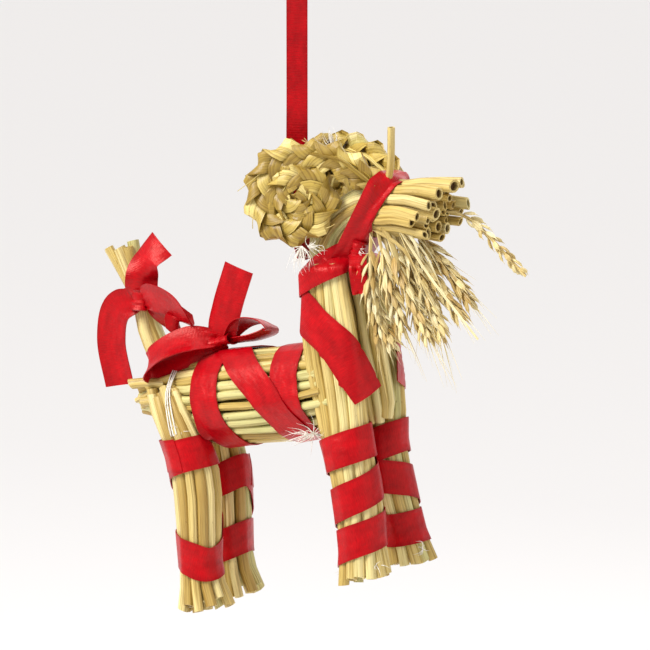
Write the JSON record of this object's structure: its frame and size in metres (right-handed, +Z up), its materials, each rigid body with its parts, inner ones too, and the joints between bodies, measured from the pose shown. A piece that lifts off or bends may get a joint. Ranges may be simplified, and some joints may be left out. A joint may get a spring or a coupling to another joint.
{
  "type": "straw goat ornament",
  "caption": "Hanging goat of tied straw bundles with plaited spiral horns, a beard of grain ears, red satin ribbon windings and a ribbon loop to hang it by",
  "frame": {"origin": "the top of the hanging ribbon's loop, which is what the ornament hangs from", "axes": "+X the way the goat faces, +Y its left side, +Z up. The goat hangs nose up by 14 degrees"},
  "size_m": [0.1291, 0.0402, 0.2017],
  "materials": {
    "straw": "dry pale yellow straw with a slight sheen along the stalk",
    "plaited_straw": "flattened golden straw, plaited",
    "satin_ribbon": "red satin, soft sheen across the weave",
    "cotton_thread": "matt white cotton, frayed"
  },
  "bodies": {
    "root": {"trunk_and_chest_bundle": "straw", "tail_bundle": "straw", "head_and_beard_bundle": "straw", "foreleg_right_bundle": "straw", "foreleg_left_bundle": "straw", "rear_leg_right_bundle": "straw", "rear_leg_left_bundle": "straw", "horn_right_plait": "plaited_straw", "horn_left_plait": "plaited_straw", "body_ribbon": "satin_ribbon", "neck_ribbon": "satin_ribbon", "tail_ribbon": "satin_ribbon", "foreleg_right_ribbon": "satin_ribbon", "foreleg_left_ribbon": "satin_ribbon", "rear_leg_right_ribbon": "satin_ribbon", "rear_leg_left_ribbon": "satin_ribbon", "hanging_ribbon": "satin_ribbon", "rump_thread": "cotton_thread"}
  },
  "joints": []
}
